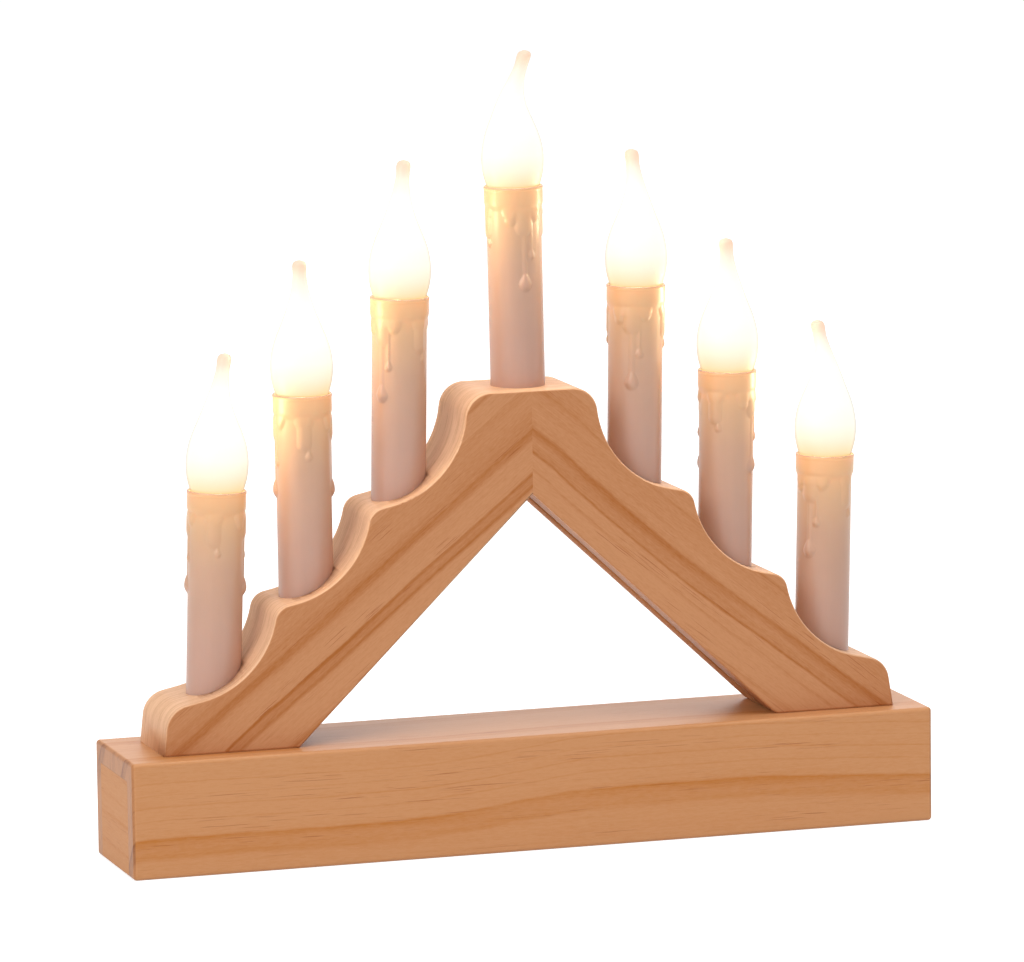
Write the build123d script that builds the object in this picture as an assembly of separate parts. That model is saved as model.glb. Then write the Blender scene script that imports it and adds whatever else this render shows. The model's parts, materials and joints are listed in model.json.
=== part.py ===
from build123d import *
import os
from math import atan2, cos, radians, sin, tan

# Candle arch in millimetres. X runs along the base, the front faces -Y, Z is up.
# The origin lies on the table, under the middle of the base.

# Base, an upside-down channel milled from one pine board
base_end_reach = 31.0
base_height = 36.3
web_thickness = 6.4
flange_thickness = 6.2
base_edge_radius = 1.2
plug_length = 16.0
glue_line = 0.05

# Plate that closes the base from below
plate_thickness = 3.0
plate_rebate_gap = 0.2
plate_ledge = 8.0
plate_clearance = 0.2

# Arch, two pine legs mitred at the top, set a little to the right of the base's middle
arch_shift = 1.5
arch_thickness = 29.3
foot_inner_left = 76.2
foot_inner_right = 79.3
inner_apex_z = 110.6
toe_radius_left = 0.6
toe_radius_right = 3.0
arris_radius = 0.7
centre_pitch = 38.2
step_pitch = 30.4
foot_rise = 16.5
step_rise = 28.4
top_rise = 33.4
foot_overhang_left = 18.7
foot_overhang_right = 17.2
step_overhang = 14.2
apex_overhang = 20.6
seat_slope = 12.0
nose_lean = 6.0
foot_lean_left = 6.3
foot_lean_right = 8.8
sweep_radius = 30.0
nose_radius = 5.5
foot_nose_radius = 8.0
apex_radius = 8.0

# Saw kerf for the leads, under each leg
groove_width = 3.5
groove_depth = 12.0
lead_depth = 7.0

# Candle sleeves, numbered from the left
centre_number = 4
side_steps = 3
sleeve_radius = 8.5
sleeve_wall = 1.0
sleeve_stand = 62.9
bore_depth = 8.5
apex_bore_extra = 0.7
rim_proud = 0.6
rim_height = 1.2
collar_proud = 0.45
collar_height = 9.5
collar_taper = 3.5
mouth_flare = 0.95
mouth_depth = 4.0
fit_clearance = 0.05
bore_shift_shares = (-0.011, -0.02, -0.027, 0.005, -0.012, -0.036, 0.023)
candle_leans = (2.0, -0.2, 1.2, -0.7, 1.1, 1.25, 1.4)
sleeve_turns = (162, 170, -146, -86, -116, -42, -142)
flame_turns = (51, -107, 60, -17, 94, -121, 113)

# Wax drips moulded on each sleeve: angle, length and radius, with the long thin runs last
drip_proud = 1.0
drip_length = 15.0
drip_radius = 2.6
drip_taper = 0.75
drip_start = 3.0
drip_angles = (0, 27, 52, 77, 101, 128, 154, 180, 206, 231, 257, 282, 307, 333, 16, 193, 0, 180)
drip_length_shares = (
    1.0, 0.8, 0.68, 1.18, 1.3, 0.66, 0.85, 1.02, 0.78, 0.7, 1.15, 1.22, 0.68, 0.88, 1.5, 1.45, 2.12, 2.15)
drip_radius_shares = (
    1.0, 0.8, 0.9, 1.0, 1.05, 0.9, 0.8, 1.0, 0.85, 0.9, 1.0, 1.05, 0.85, 0.8, 0.55, 0.55, 0.7, 0.7)

# Screw lampholder inside each sleeve
holder_base = 3.0
holder_step = 2.0
holder_well_radius = 4.0
shell_wall = 0.35
shell_top_gap = 0.1
centre_disc_radius = 3.0
centre_disc_thickness = 0.5
centre_nib_radius = 1.2
centre_nib_height = 1.0
holder_top_drop = 9.0

# Screw-in flame lamp
cap_radius = 4.765
cap_wall = 0.3
cap_length = 11.0
cap_collar_width = 0.835
cap_collar_height = 0.7
cap_collar_gap = 0.3
thread_clearance = 0.1
tip_radius = 1.8
tip_height = 2.9
tip_gap = 0.1
insulator_height = 1.6
flame_height = 41.8
flame_bend = 4.4
glass_gap = 0.2
glass_wall = 0.9
stem_radius = 1.1
stem_disc_height = 2.0
stem_rise = 9.0
led_radius = 2.5
led_height = 4.0

# Outline of the flame glass above the rim: height, radius and sideways bend
flame_height_shares = (0, 0.1, 0.21, 0.32, 0.42, 0.51, 0.605, 0.7, 0.79, 0.885, 0.955, 0.987, 1.0)
flame_radius_shares = (0.855, 0.966, 1.0, 0.94, 0.81, 0.65, 0.49, 0.355, 0.255, 0.195, 0.195, 0.14, 0.05)
flame_bend_shares = (0, 0, 0, 0, -0.02, -0.035, -0.03, 0.12, 0.4, 0.75, 0.96, 1.0, 1.0)
hollow_share = 0.7
waist_share = 0.25

# Dowels in the mitre
dowel_radius = 3.0
dowel_length = 28.0
dowel_spread = 16.0
dowel_drop = 22.0

# Countersunk wood screws that hold the arch
arch_screw_radius = 1.7
arch_screw_length = 16.0
arch_screw_head_radius = 3.4
arch_screw_head_height = 2.0
arch_screw_outer_reach = 10.0
arch_screw_inner_reach = 11.0
arch_screw_side_y = 9.0
screw_point_share = 2.0
recess_arm_share = 0.25
recess_depth_share = 0.5

# Countersunk screws that hold the plate
plate_screw_radius = 1.3
plate_screw_length = 12.0
plate_screw_head_radius = 2.6
plate_screw_head_height = 1.6
plate_screw_spread = 17.0

# Battery box
cell_radius = 7.1
cell_length = 50.5
cell_nub_radius = 2.75
cell_nub_height = 1.3
cell_edge_radius = 0.6
cell_gap = 0.3
cell_side_gap = 0.15
cell_floor_gap = 0.4
cell_headroom = 0.3
contact_room = 5.5
bay_height = 11.0
box_start_x = -48.0
box_wall = 1.2
box_side_gap = 0.35
box_flange_thickness = 0.8
box_flange_margin = 2.4
box_flange_tail = 5.0
box_tongue_length = 3.0
box_tongue_width = 20.0
rib_width = 1.0
rib_height = 1.5
rail_foot_z = 0.2
rail_lip_width = 1.0
rail_lip_height = 0.5
box_screw_radius = 1.0
box_screw_head_radius = 2.0
box_screw_head_height = 1.0
box_screw_spread = 20.0
box_screw_spare = 0.4

# Sliding lid of the battery box
lid_thickness = 1.2
lid_top_gap = 0.1
lid_side_clearance = 0.2
lid_overlap = 1.0
lid_end_gap = 0.3
lid_grip_count = 5
lid_grip_pitch = 2.4
lid_grip_width = 1.0
lid_grip_height = 0.4
lid_grip_length = 14.0
lid_stop_width = 1.0

# Cell contacts
contact_thickness = 0.4
contact_size = 8.0
spring_thickness = 0.35
spring_width = 6.0
spring_half_height = 4.0
tag_width = 2.0
tag_reach = 1.8
tag_clearance = 0.2

# Timer board with its switch
board_length = 22.0
board_end_gap = 1.0
board_side_gap = 1.5
board_thickness = 1.2
post_size = 2.5
chip_length = 6.0
chip_width = 5.0
chip_height = 1.4
chip_offset_y = 6.0
switch_end_wall = 1.0
switch_side_wall = 0.8
switch_floor_gap = 0.4
switch_headroom = 0.6
switch_wall = 0.6
carriage_length = 4.0
carriage_width = 3.4
carriage_height = 1.4
stem_length = 2.4
stem_width = 2.0
stem_foot_z = 1.0
switch_travel = 4.0
slide_clearance = 0.2

# Leads
lead_radius = 1.0
branch_radius = 0.8
lead_bend = 3.0
lead_rise_reach = 11.0
lead_hole_radius = 1.7
web_slot_inner_reach = 14.5
web_slot_outer_reach = 3.5
web_slot_width = 5.0
board_lead_pitch = 10.0

# One overrun serves every cut
overrun = 2.0

# The battery box, built up from the table, and the base that goes round it
lid_z = rail_foot_z + rail_lip_height + slide_clearance
box_flange_z = lid_z + lid_thickness + lid_top_gap
plate_recess = box_flange_z + box_flange_thickness
cell_lift = lid_z + lid_thickness + cell_floor_gap
cell_z = cell_lift + cell_radius
cell_pitch = 2 * cell_radius + cell_gap
cell_chamber_length = cell_length + contact_room
chamber_top = cell_lift + 2 * cell_radius + cell_headroom
bay_length = board_length + 2 * board_end_gap
chamber_start = box_start_x + bay_length + 2 * box_wall
chamber_end = chamber_start + cell_chamber_length
box_end_x = chamber_end + box_wall
box_floor_top = box_flange_z + box_wall
box_width = 2 * (cell_pitch / 2 + cell_radius + cell_side_gap + box_wall)
board_width = box_width - 2 * (box_wall + board_side_gap)
board_start = box_start_x + box_wall + board_end_gap
switch_low = box_floor_top + switch_floor_gap
board_z = switch_low + 2 * switch_wall + slide_clearance + carriage_height + switch_headroom
switch_x = box_start_x + box_wall + bay_length / 2
switch_length = carriage_length + switch_travel + 2 * (slide_clearance + switch_end_wall)
switch_width = carriage_width + 2 * (slide_clearance + switch_side_wall)
inner_width = box_width + 2 * box_side_gap
base_depth = inner_width + 2 * flange_thickness
plate_rebate = box_flange_margin + plate_rebate_gap

# Lengths, heights and radii that follow from the sizes above
foot_candle_x = centre_pitch + (side_steps - 1) * step_pitch
base_length = 2 * (foot_candle_x + base_end_reach)
web_underside = base_height - web_thickness
lead_height = (chamber_top + box_wall + web_underside) / 2
plate_top = plate_recess + plate_thickness
plate_half_length = base_length / 2 - plug_length + plate_ledge - plate_clearance
plate_half_width = inner_width / 2 + plate_rebate - plate_clearance
foot_seat_z = base_height + foot_rise
apex_z = foot_seat_z + (side_steps - 1) * step_rise + top_rise
sleeve_bore = sleeve_radius - sleeve_wall
rim_radius = sleeve_radius + rim_proud
collar_radius = sleeve_radius + collar_proud
mouth_radius = sleeve_bore + mouth_flare
flame_radius = (mouth_radius - glass_gap) / flame_radius_shares[0]
holder_top = sleeve_stand - holder_top_drop
cap_top = holder_top + cap_collar_gap + cap_collar_height
cap_bottom = cap_top - cap_length
cap_collar_radius = cap_radius + cap_collar_width
contact_top = cap_bottom - tip_height - tip_gap
holder_bottom = contact_top - centre_nib_height - centre_disc_thickness - holder_base
shell_bottom = holder_bottom + holder_base + holder_step
shell_inner = cap_radius + thread_clearance
shell_outer = shell_inner + shell_wall


def block(x_low, x_high, y_low, y_high, z_low, z_high):
    """A box between two corners."""
    size = Box(x_high - x_low, y_high - y_low, z_high - z_low, align=(Align.MIN, Align.MIN, Align.MIN))
    return Pos(x_low, y_low, z_low) * size


def rod(radius, z_low, z_high):
    """A round bar along Z."""
    return Pos(0, 0, z_low) * Cylinder(radius, z_high - z_low, align=(Align.CENTER, Align.CENTER, Align.MIN))


def turned(points):
    """A solid of revolution about Z, from its radius and height points."""
    return revolve(Plane.XZ * make_face(Polyline(*points, close=True)), Axis.Z)


def profile(points):
    """A flat face in the XZ plane."""
    return Plane.XZ * make_face(Polyline(*points, close=True))


def countersunk_screw(radius, length, head_radius, head_height, spare=0):
    """A wood screw that points up, its head's flat at the origin; spare widens it into its hole."""
    tip = screw_point_share * radius
    return turned([
        (0, 0), (head_radius + spare, 0), (radius + spare, head_height),
        (radius + spare, length - tip + spare), (0, length + spare)])


def cross_recess(width, head_height):
    """The driver's recess in a screw head, about the middle of its outer face."""
    arm = width * recess_arm_share
    depth = 2 * head_height * recess_depth_share
    return Box(width, arm, depth) + Box(arm, width, depth)


def candle_steps(number):
    """How many steps a candle stands away from the middle, with its side."""
    return number - centre_number


def candle_x(number):
    """Where a candle's axis meets its seat."""
    steps = candle_steps(number)
    middle = arch_shift + bore_shift_shares[number - 1] * step_pitch
    if steps == 0:
        return middle
    side = 1 if steps > 0 else -1
    return middle + side * (centre_pitch + (abs(steps) - 1) * step_pitch)


def seat_z(steps_away):
    """Height of the seat that lies some steps away from the middle."""
    if steps_away == 0:
        return apex_z
    return foot_seat_z + (side_steps - steps_away) * step_rise


def candle_drop(number):
    """How much deeper than the others a candle stands."""
    return apex_bore_extra if candle_steps(number) == 0 else 0


def candle_place(number):
    """The frame of a candle: its origin on the seat and Z along the candle."""
    base = seat_z(abs(candle_steps(number))) - candle_drop(number)
    return Pos(candle_x(number), 0, base) * Rot(0, candle_leans[number - 1], 0)


def candle_axis_point(number, z):
    """The point of a candle's axis at a height above the table."""
    base = seat_z(abs(candle_steps(number))) - candle_drop(number)
    return (candle_x(number) + (z - base) * tan(radians(candle_leans[number - 1])), 0, z)


def nose_corner(side, steps_away):
    """The sharp corner that a step's nose and seat would meet in; side is -1 on the left leg."""
    x = 0 if steps_away == 0 else centre_pitch + (steps_away - 1) * step_pitch
    foot_overhang = foot_overhang_right if side > 0 else foot_overhang_left
    reach = (apex_overhang, step_overhang, step_overhang, foot_overhang)[steps_away]
    fall = 0 if steps_away == 0 else (reach - sleeve_radius) * tan(radians(seat_slope))
    return x + reach, seat_z(steps_away) - fall


def sweep_corner(side, steps_away):
    """The sharp inner corner between a seat and the nose above it."""
    low_x, low_z = nose_corner(side, steps_away)
    high_x, high_z = nose_corner(side, steps_away - 1)
    rise = tan(radians(seat_slope))
    lean = tan(radians(nose_lean))
    z = (low_z - (high_x - low_x + high_z * lean) * rise) / (1 - lean * rise)
    return high_x + (high_z - z) * lean, z


def foot_inner_x(side):
    """How far from the middle a leg's foot begins."""
    return foot_inner_right if side > 0 else foot_inner_left


def leg_corners(side):
    """A leg's sharp corners with their radii, from the inner apex round to the mitre, as if on the right."""
    toe_radius = toe_radius_right if side > 0 else toe_radius_left
    foot_lean = foot_lean_right if side > 0 else foot_lean_left
    foot_x, foot_z = nose_corner(side, side_steps)
    foot_x += (foot_z - base_height) * tan(radians(foot_lean))
    corners = [((0, inner_apex_z), 0), ((foot_inner_x(side), base_height), toe_radius),
               ((foot_x, base_height), 0)]
    for steps_away in (3, 2, 1):
        radius = foot_nose_radius if steps_away == side_steps else nose_radius
        corners += [(nose_corner(side, steps_away), radius), (sweep_corner(side, steps_away), sweep_radius)]
    return corners + [(nose_corner(side, 0), apex_radius), ((0, apex_z), 0)]


def leg_blank(side):
    """The stepped blank of a leg with its rounded steps and eased edges, as if on the right."""
    corners = leg_corners(side)
    body = extrude(profile([point for point, _ in corners]), amount=arch_thickness / 2, both=True)
    for (x, z), radius in corners:
        if radius > 0:
            across = [
                edge for edge in body.edges()
                if abs(edge.center().X - x) < glue_line and abs(edge.center().Z - z) < glue_line
                and abs(edge.length - arch_thickness) < glue_line]
            body = fillet(across, radius)
    arrises = [
        edge for edge in body.edges()
        if abs(abs(edge.center().Y) - arch_thickness / 2) < glue_line
        and edge.center().X > glue_line and edge.center().Z > base_height + glue_line]
    return fillet(arrises, arris_radius)


def underside_angle(side):
    """How steeply a leg's underside rises."""
    return atan2(inner_apex_z - base_height, foot_inner_x(side))


def groove_cut(side):
    """The saw kerf along a leg's underside, as if on the right."""
    angle = underside_angle(side)
    run = (-cos(angle), sin(angle))
    up = (sin(angle), cos(angle))

    def along(start, run_length, height):
        return (start[0] + run[0] * run_length + up[0] * height,
                start[1] + run[1] * run_length + up[1] * height)

    foot = (foot_inner_x(side), base_height)
    apex = (0, inner_apex_z)
    reach = 2 * groove_depth
    face = profile([along(foot, -reach, -overrun), along(apex, reach, -overrun),
                    along(apex, reach, groove_depth), along(foot, -reach, groove_depth)])
    return extrude(face, amount=groove_width / 2, both=True)


def lead_line_z(side, x):
    """Height of the lead in a leg's groove."""
    angle = underside_angle(side)
    return inner_apex_z + lead_depth / cos(angle) - abs(x - arch_shift) * tan(angle)


def arch_screw_places():
    """Where the screws rise through the web into the legs."""
    outer = foot_candle_x + arch_screw_outer_reach
    inner = foot_candle_x - arch_screw_inner_reach
    return [(arch_shift + side * outer, -arch_screw_side_y) for side in (-1, 1)] + [
        (arch_shift + side * inner, arch_screw_side_y) for side in (-1, 1)]


def arch_screw(spare=0):
    """One of the screws that hold the arch, its head under the web."""
    return Pos(0, 0, web_underside) * countersunk_screw(
        arch_screw_radius, arch_screw_length, arch_screw_head_radius, arch_screw_head_height, spare)


def mitre_dowel(spare=0):
    """One dowel across the mitre; spare widens it into its hole."""
    bar = Cylinder(dowel_radius + spare, dowel_length + 2 * spare)
    return Pos(arch_shift, 0, apex_z - dowel_drop) * Rot(0, 90, 0) * bar


def make_leg(side):
    """A leg of the arch, with its bores, kerf and holes; side is -1 on the left."""
    blank = leg_blank(side) - groove_cut(side)
    if side < 0:
        blank = mirror(blank, about=Plane.YZ)
    blank = Pos(arch_shift, 0, 0) * blank
    numbers = (4, 5, 6, 7) if side > 0 else (1, 2, 3, 4)
    for number in numbers:
        low = -bore_depth
        blank -= candle_place(number) * rod(sleeve_radius + fit_clearance, low, step_rise)
        base = seat_z(abs(candle_steps(number))) - candle_drop(number)
        if abs(candle_steps(number)) == side_steps:
            hole_end = base_height - overrun
        else:
            hole_end = lead_line_z(side, candle_x(number))
        blank -= candle_place(number) * rod(lead_hole_radius, hole_end - base, low + overrun)
    for x, y in arch_screw_places():
        if x * side > 0:
            blank -= Pos(x, y, 0) * arch_screw(fit_clearance)
    for y in (-dowel_spread / 2, dowel_spread / 2):
        blank -= Pos(0, y, 0) * mitre_dowel(fit_clearance)
    return blank


def rounded_base():
    """The outer block of the base with its eased edges."""
    body = block(-base_length / 2, base_length / 2, -base_depth / 2, base_depth / 2, 0, base_height)
    return fillet(body.edges(), base_edge_radius)


def make_base_channel():
    """The milled channel, open below and at both ends."""
    half = base_length / 2 + overrun
    body = rounded_base()
    body -= block(-half, half, -inner_width / 2, inner_width / 2, -overrun, web_underside)
    slot_x = plate_half_length + plate_clearance
    slot_y = plate_half_width + plate_clearance
    body -= block(-slot_x, slot_x, -slot_y, slot_y, -overrun, plate_top)
    for x, y in arch_screw_places():
        body -= Pos(x, y, 0) * arch_screw(fit_clearance)
    slot = SlotOverall(web_slot_inner_reach + web_slot_outer_reach, web_slot_width)
    slot_middle = foot_candle_x + (web_slot_outer_reach - web_slot_inner_reach) / 2
    for side in (-1, 1):
        middle = arch_shift + side * slot_middle
        body -= Pos(middle, 0, web_underside - overrun) * extrude(slot, amount=web_thickness + 2 * overrun)
    return body


def plate_screw_places():
    """Where the plate is screwed to the end plugs."""
    x = base_length / 2 - plug_length + plate_ledge / 2
    return [(side * x, row * plate_screw_spread / 2) for side in (-1, 1) for row in (-1, 1)]


def plate_screw(spare=0):
    """One of the plate's screws, its head flush with the plate."""
    return Pos(0, 0, plate_recess) * countersunk_screw(
        plate_screw_radius, plate_screw_length, plate_screw_head_radius, plate_screw_head_height, spare)


def make_end_plug(side):
    """A block that closes one end of the channel, with a ledge for the plate."""
    inner = base_length / 2 - plug_length
    outer = base_length / 2 + overrun
    low, high = (inner, outer) if side > 0 else (-outer, -inner)
    half = inner_width / 2 - glue_line
    body = rounded_base() & block(low, high, -half, half, -overrun, web_underside - glue_line)
    ledge = inner + plate_ledge
    low, high = (inner - overrun, ledge) if side > 0 else (-ledge, -inner + overrun)
    body -= block(low, high, -base_depth, base_depth, -overrun, plate_top)
    for x, y in plate_screw_places():
        if x * side > 0:
            body -= Pos(x, y, 0) * plate_screw(fit_clearance)
    return body


def make_bottom_plate():
    """The plate under the base, with a window for the battery box."""
    body = block(-plate_half_length, plate_half_length, -plate_half_width, plate_half_width,
                 plate_recess, plate_top)
    window_y = box_width / 2 + plate_clearance
    body -= block(box_start_x - plate_clearance, box_end_x + plate_clearance,
                  -window_y, window_y, -overrun, plate_top + overrun)
    for x, y in plate_screw_places():
        body -= Pos(x, y, 0) * plate_screw(fit_clearance)
    for x, y in box_screw_places():
        body -= Pos(x, y, 0) * box_screw_hole()
    return body


def box_screw_places():
    """Where the battery box is screwed to the plate."""
    x = box_start_x - box_flange_tail / 2
    return [(x, row * box_screw_spread / 2) for row in (-1, 1)]


def box_screw():
    """One pan-head screw of the battery box."""
    head = rod(box_screw_head_radius, box_flange_z - box_screw_head_height, box_flange_z)
    return head + rod(box_screw_radius, box_flange_z, plate_top + box_screw_spare)


def box_screw_hole():
    """The hole for one of the battery box's screws."""
    return rod(box_screw_radius + fit_clearance, 0, plate_top + overrun)


def make_battery_box():
    """The moulded box: a chamber for two cells, open below, and a bay for the board."""
    half = box_width / 2
    flange_top = box_flange_z + box_flange_thickness
    flange_half = half + box_flange_margin
    body = block(box_start_x - box_flange_tail, box_end_x + box_wall, -flange_half, flange_half,
                 box_flange_z, flange_top)
    body += block(box_start_x, chamber_start, -half, half, box_flange_z, bay_height)
    body += block(chamber_start - box_wall, box_end_x, -half, half, box_flange_z, chamber_top + box_wall)
    tongue = box_tongue_width / 2
    tongue_z = plate_top + slide_clearance / 2
    body += block(box_end_x - box_wall, box_end_x + box_tongue_length, -tongue, tongue,
                  tongue_z, tongue_z + box_wall)
    body -= block(chamber_start, chamber_end, -half + box_wall, half - box_wall, -overrun, chamber_top)
    bay_start = box_start_x + box_wall
    body -= block(bay_start, bay_start + bay_length, -half + box_wall, half - box_wall,
                  box_floor_top, bay_height + overrun)
    body += block(chamber_start, chamber_end, -rib_width / 2, rib_width / 2,
                  chamber_top - rib_height, chamber_top)
    for x in (board_start, board_start + board_length - post_size):
        for y in (-board_width / 2, board_width / 2 - post_size):
            body += block(x, x + post_size, y, y + post_size, box_floor_top, board_z)
    rail_start = chamber_start - lid_overlap - lid_end_gap
    rail_end = box_end_x + box_wall
    for row in (-1, 1):
        inner = half + lid_side_clearance + slide_clearance
        y_low, y_high = sorted((row * inner, row * flange_half))
        body += block(rail_start, rail_end, y_low, y_high, rail_foot_z, box_flange_z)
        y_low, y_high = sorted((row * (inner - rail_lip_width), row * inner))
        body += block(rail_start, rail_end, y_low, y_high, rail_foot_z, rail_foot_z + rail_lip_height)
    body += block(rail_start - lid_stop_width, rail_start, -half, half, lid_z, box_flange_z)
    slot_x = (stem_length + switch_travel) / 2 + slide_clearance
    slot_y = stem_width / 2 + slide_clearance
    body -= block(switch_x - slot_x, switch_x + slot_x, -slot_y, slot_y, -overrun, box_floor_top + glue_line)
    tag_half = tag_width / 2 + tag_clearance
    tag_low = board_z + board_thickness
    for row in (-1, 1):
        y = row * cell_pitch / 2
        body -= block(chamber_start - box_wall - glue_line, chamber_start + glue_line,
                      y - tag_half, y + tag_half, tag_low, tag_low + contact_thickness + tag_clearance)
    for x, y in box_screw_places():
        body -= Pos(x, y, 0) * box_screw_hole()
    return body


def make_battery_lid():
    """The sliding lid, with ridges for the thumb."""
    half = box_width / 2 + lid_side_clearance
    start = chamber_start - lid_overlap
    end = box_end_x + lid_overlap
    body = block(start, end, -half, half, lid_z, lid_z + lid_thickness)
    for ridge in range(lid_grip_count):
        x = start + 2 * lid_grip_pitch + ridge * lid_grip_pitch
        body += block(x, x + lid_grip_width, -lid_grip_length / 2, lid_grip_length / 2,
                      lid_z - lid_grip_height, lid_z)
    return body


def make_cell(row):
    """A round cell; the front one (row -1) points left and the rear one right."""
    barrel = cell_length - cell_nub_height
    body = turned([
        (0, 0), (cell_radius - cell_edge_radius, 0), (cell_radius, cell_edge_radius),
        (cell_radius, barrel - cell_edge_radius), (cell_radius - cell_edge_radius, barrel),
        (cell_nub_radius, barrel), (cell_nub_radius, cell_length), (0, cell_length)])
    nub_x = chamber_end - contact_thickness if row > 0 else chamber_start + contact_thickness
    return Pos(nub_x - row * cell_length, row * cell_pitch / 2, cell_z) * Rot(0, row * 90, 0) * body


def contact_plate(x_low, row):
    """A flat contact against the chamber's end wall."""
    y = row * cell_pitch / 2
    half = contact_size / 2
    return block(x_low, x_low + contact_thickness, y - half, y + half, cell_z - half, cell_z + half)


def leaf_spring(wall_x, toward, row):
    """A bent leaf from a contact plate to the flat end of its cell."""
    reach = cell_chamber_length - cell_length - 2 * contact_thickness
    crest = wall_x + toward * (reach - spring_thickness / 2 - fit_clearance)
    root = wall_x - toward * spring_thickness / 2
    line = Polyline((root, cell_z + spring_half_height), (crest, cell_z),
                    (wall_x + toward * reach / 2, cell_z - spring_half_height))
    leaf = Plane.XZ * trace(line, spring_thickness)
    return Pos(0, row * cell_pitch / 2, 0) * extrude(leaf, amount=spring_width / 2, both=True)


def make_contact_link():
    """The strip at the right that joins the two cells."""
    x_low = chamber_end - contact_thickness
    body = contact_plate(x_low, 1) + contact_plate(x_low, -1)
    half = tag_width / 2
    body += block(x_low, chamber_end, -cell_pitch / 2, cell_pitch / 2, cell_z - half, cell_z + half)
    return body + leaf_spring(x_low, -1, -1)


def make_contact_terminals():
    """The two contacts at the left, each with a tag that lies on the board."""
    tag_low = board_z + board_thickness
    solids = []
    for row in (-1, 1):
        y = row * cell_pitch / 2
        piece = contact_plate(chamber_start, row)
        piece += block(chamber_start - box_wall - tag_reach, chamber_start + contact_thickness,
                       y - tag_width / 2, y + tag_width / 2, tag_low, tag_low + contact_thickness)
        if row > 0:
            piece += leaf_spring(chamber_start + contact_thickness, 1, row)
        solids.append(piece)
    return Compound(children=solids)


def make_timer_board():
    """The circuit board on its posts, with the timer chip."""
    top = board_z + board_thickness
    body = block(board_start, board_start + board_length, -board_width / 2, board_width / 2, board_z, top)
    body += block(switch_x - chip_length / 2, switch_x + chip_length / 2,
                  chip_offset_y - chip_width / 2, chip_offset_y + chip_width / 2, top, top + chip_height)
    return body


def make_switch_body():
    """The housing of the slide switch, soldered under the board."""
    half_x = switch_length / 2
    half_y = switch_width / 2
    body = block(switch_x - half_x, switch_x + half_x, -half_y, half_y, switch_low, board_z)
    room_x = (carriage_length + switch_travel) / 2 + slide_clearance
    room_y = carriage_width / 2 + slide_clearance
    body -= block(switch_x - room_x, switch_x + room_x, -room_y, room_y,
                  switch_low + switch_wall, board_z - switch_wall)
    slot_x = (stem_length + switch_travel) / 2 + slide_clearance
    slot_y = stem_width / 2 + slide_clearance
    body -= block(switch_x - slot_x, switch_x + slot_x, -slot_y, slot_y, -overrun, switch_low + switch_wall)
    return body


def make_switch_slider():
    """The slider: a carriage in the switch and a stem down through the box floor."""
    low = switch_low + switch_wall + slide_clearance
    body = block(switch_x - carriage_length / 2, switch_x + carriage_length / 2,
                 -carriage_width / 2, carriage_width / 2, low, low + carriage_height)
    body += block(switch_x - stem_length / 2, switch_x + stem_length / 2,
                  -stem_width / 2, stem_width / 2, stem_foot_z, low)
    return body


def make_drip(angle, length, radius):
    """One run of wax down the sleeve, thin at the top and round at its end."""
    top = sleeve_stand - drip_start
    bottom = sleeve_stand - length + radius
    run = Pos(0, 0, bottom) * Cone(radius, radius * drip_taper, top - bottom,
                                   align=(Align.CENTER, Align.CENTER, Align.MIN))
    body = run + Pos(0, 0, bottom) * Sphere(radius)
    return Rot(0, 0, angle) * Pos(sleeve_radius + drip_proud - radius, 0, 0) * body


def make_sleeve():
    """A hollow candle sleeve with a rim and drips."""
    collar_z = sleeve_stand - collar_height
    body = turned([
        (0, -bore_depth), (sleeve_radius, -bore_depth), (sleeve_radius, collar_z - collar_taper),
        (collar_radius, collar_z), (collar_radius, sleeve_stand - rim_height),
        (rim_radius, sleeve_stand - rim_height), (rim_radius, sleeve_stand), (0, sleeve_stand)])
    for angle, length, radius in zip(drip_angles, drip_length_shares, drip_radius_shares):
        body += make_drip(angle, length * drip_length, radius * drip_radius)
    hollow = turned([
        (0, -bore_depth - overrun), (sleeve_bore, -bore_depth - overrun),
        (sleeve_bore, sleeve_stand - mouth_depth), (mouth_radius, sleeve_stand),
        (mouth_radius, sleeve_stand + overrun), (0, sleeve_stand + overrun)])
    return body - hollow


def make_holder_body():
    """The insulating cup of the lampholder, gripped by the sleeve."""
    outer = sleeve_bore - fit_clearance
    well = shell_outer + fit_clearance
    return turned([
        (0, holder_bottom), (outer, holder_bottom), (outer, holder_top), (well, holder_top),
        (well, shell_bottom), (holder_well_radius, shell_bottom),
        (holder_well_radius, holder_bottom + holder_base), (0, holder_bottom + holder_base)])


def make_holder_shell():
    """The brass screw shell of the lampholder."""
    top = holder_top - shell_top_gap
    return turned([
        (shell_inner, shell_bottom), (shell_outer, shell_bottom), (shell_outer, top), (shell_inner, top)])


def make_holder_contact():
    """The centre contact in the bottom of the lampholder."""
    low = holder_bottom + holder_base
    disc = low + centre_disc_thickness
    return turned([
        (0, low), (centre_disc_radius, low), (centre_disc_radius, disc), (centre_nib_radius, disc),
        (centre_nib_radius, contact_top), (0, contact_top)])


def make_cap():
    """The lamp's brass screw cap, a cup with a collar under the glass."""
    inner = cap_radius - cap_wall
    collar = cap_top - cap_collar_height
    return turned([
        (inner, cap_bottom), (cap_radius, cap_bottom), (cap_radius, collar), (cap_collar_radius, collar),
        (cap_collar_radius, cap_top), (inner, cap_top)])


def make_lamp_contact():
    """The insulator and solder tip in the bottom of the cap."""
    outer = cap_radius - cap_wall - fit_clearance
    top = cap_bottom + insulator_height
    low = contact_top + tip_gap
    return turned([(0, low), (tip_radius, low), (outer, cap_bottom), (outer, top), (0, top)])


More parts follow.
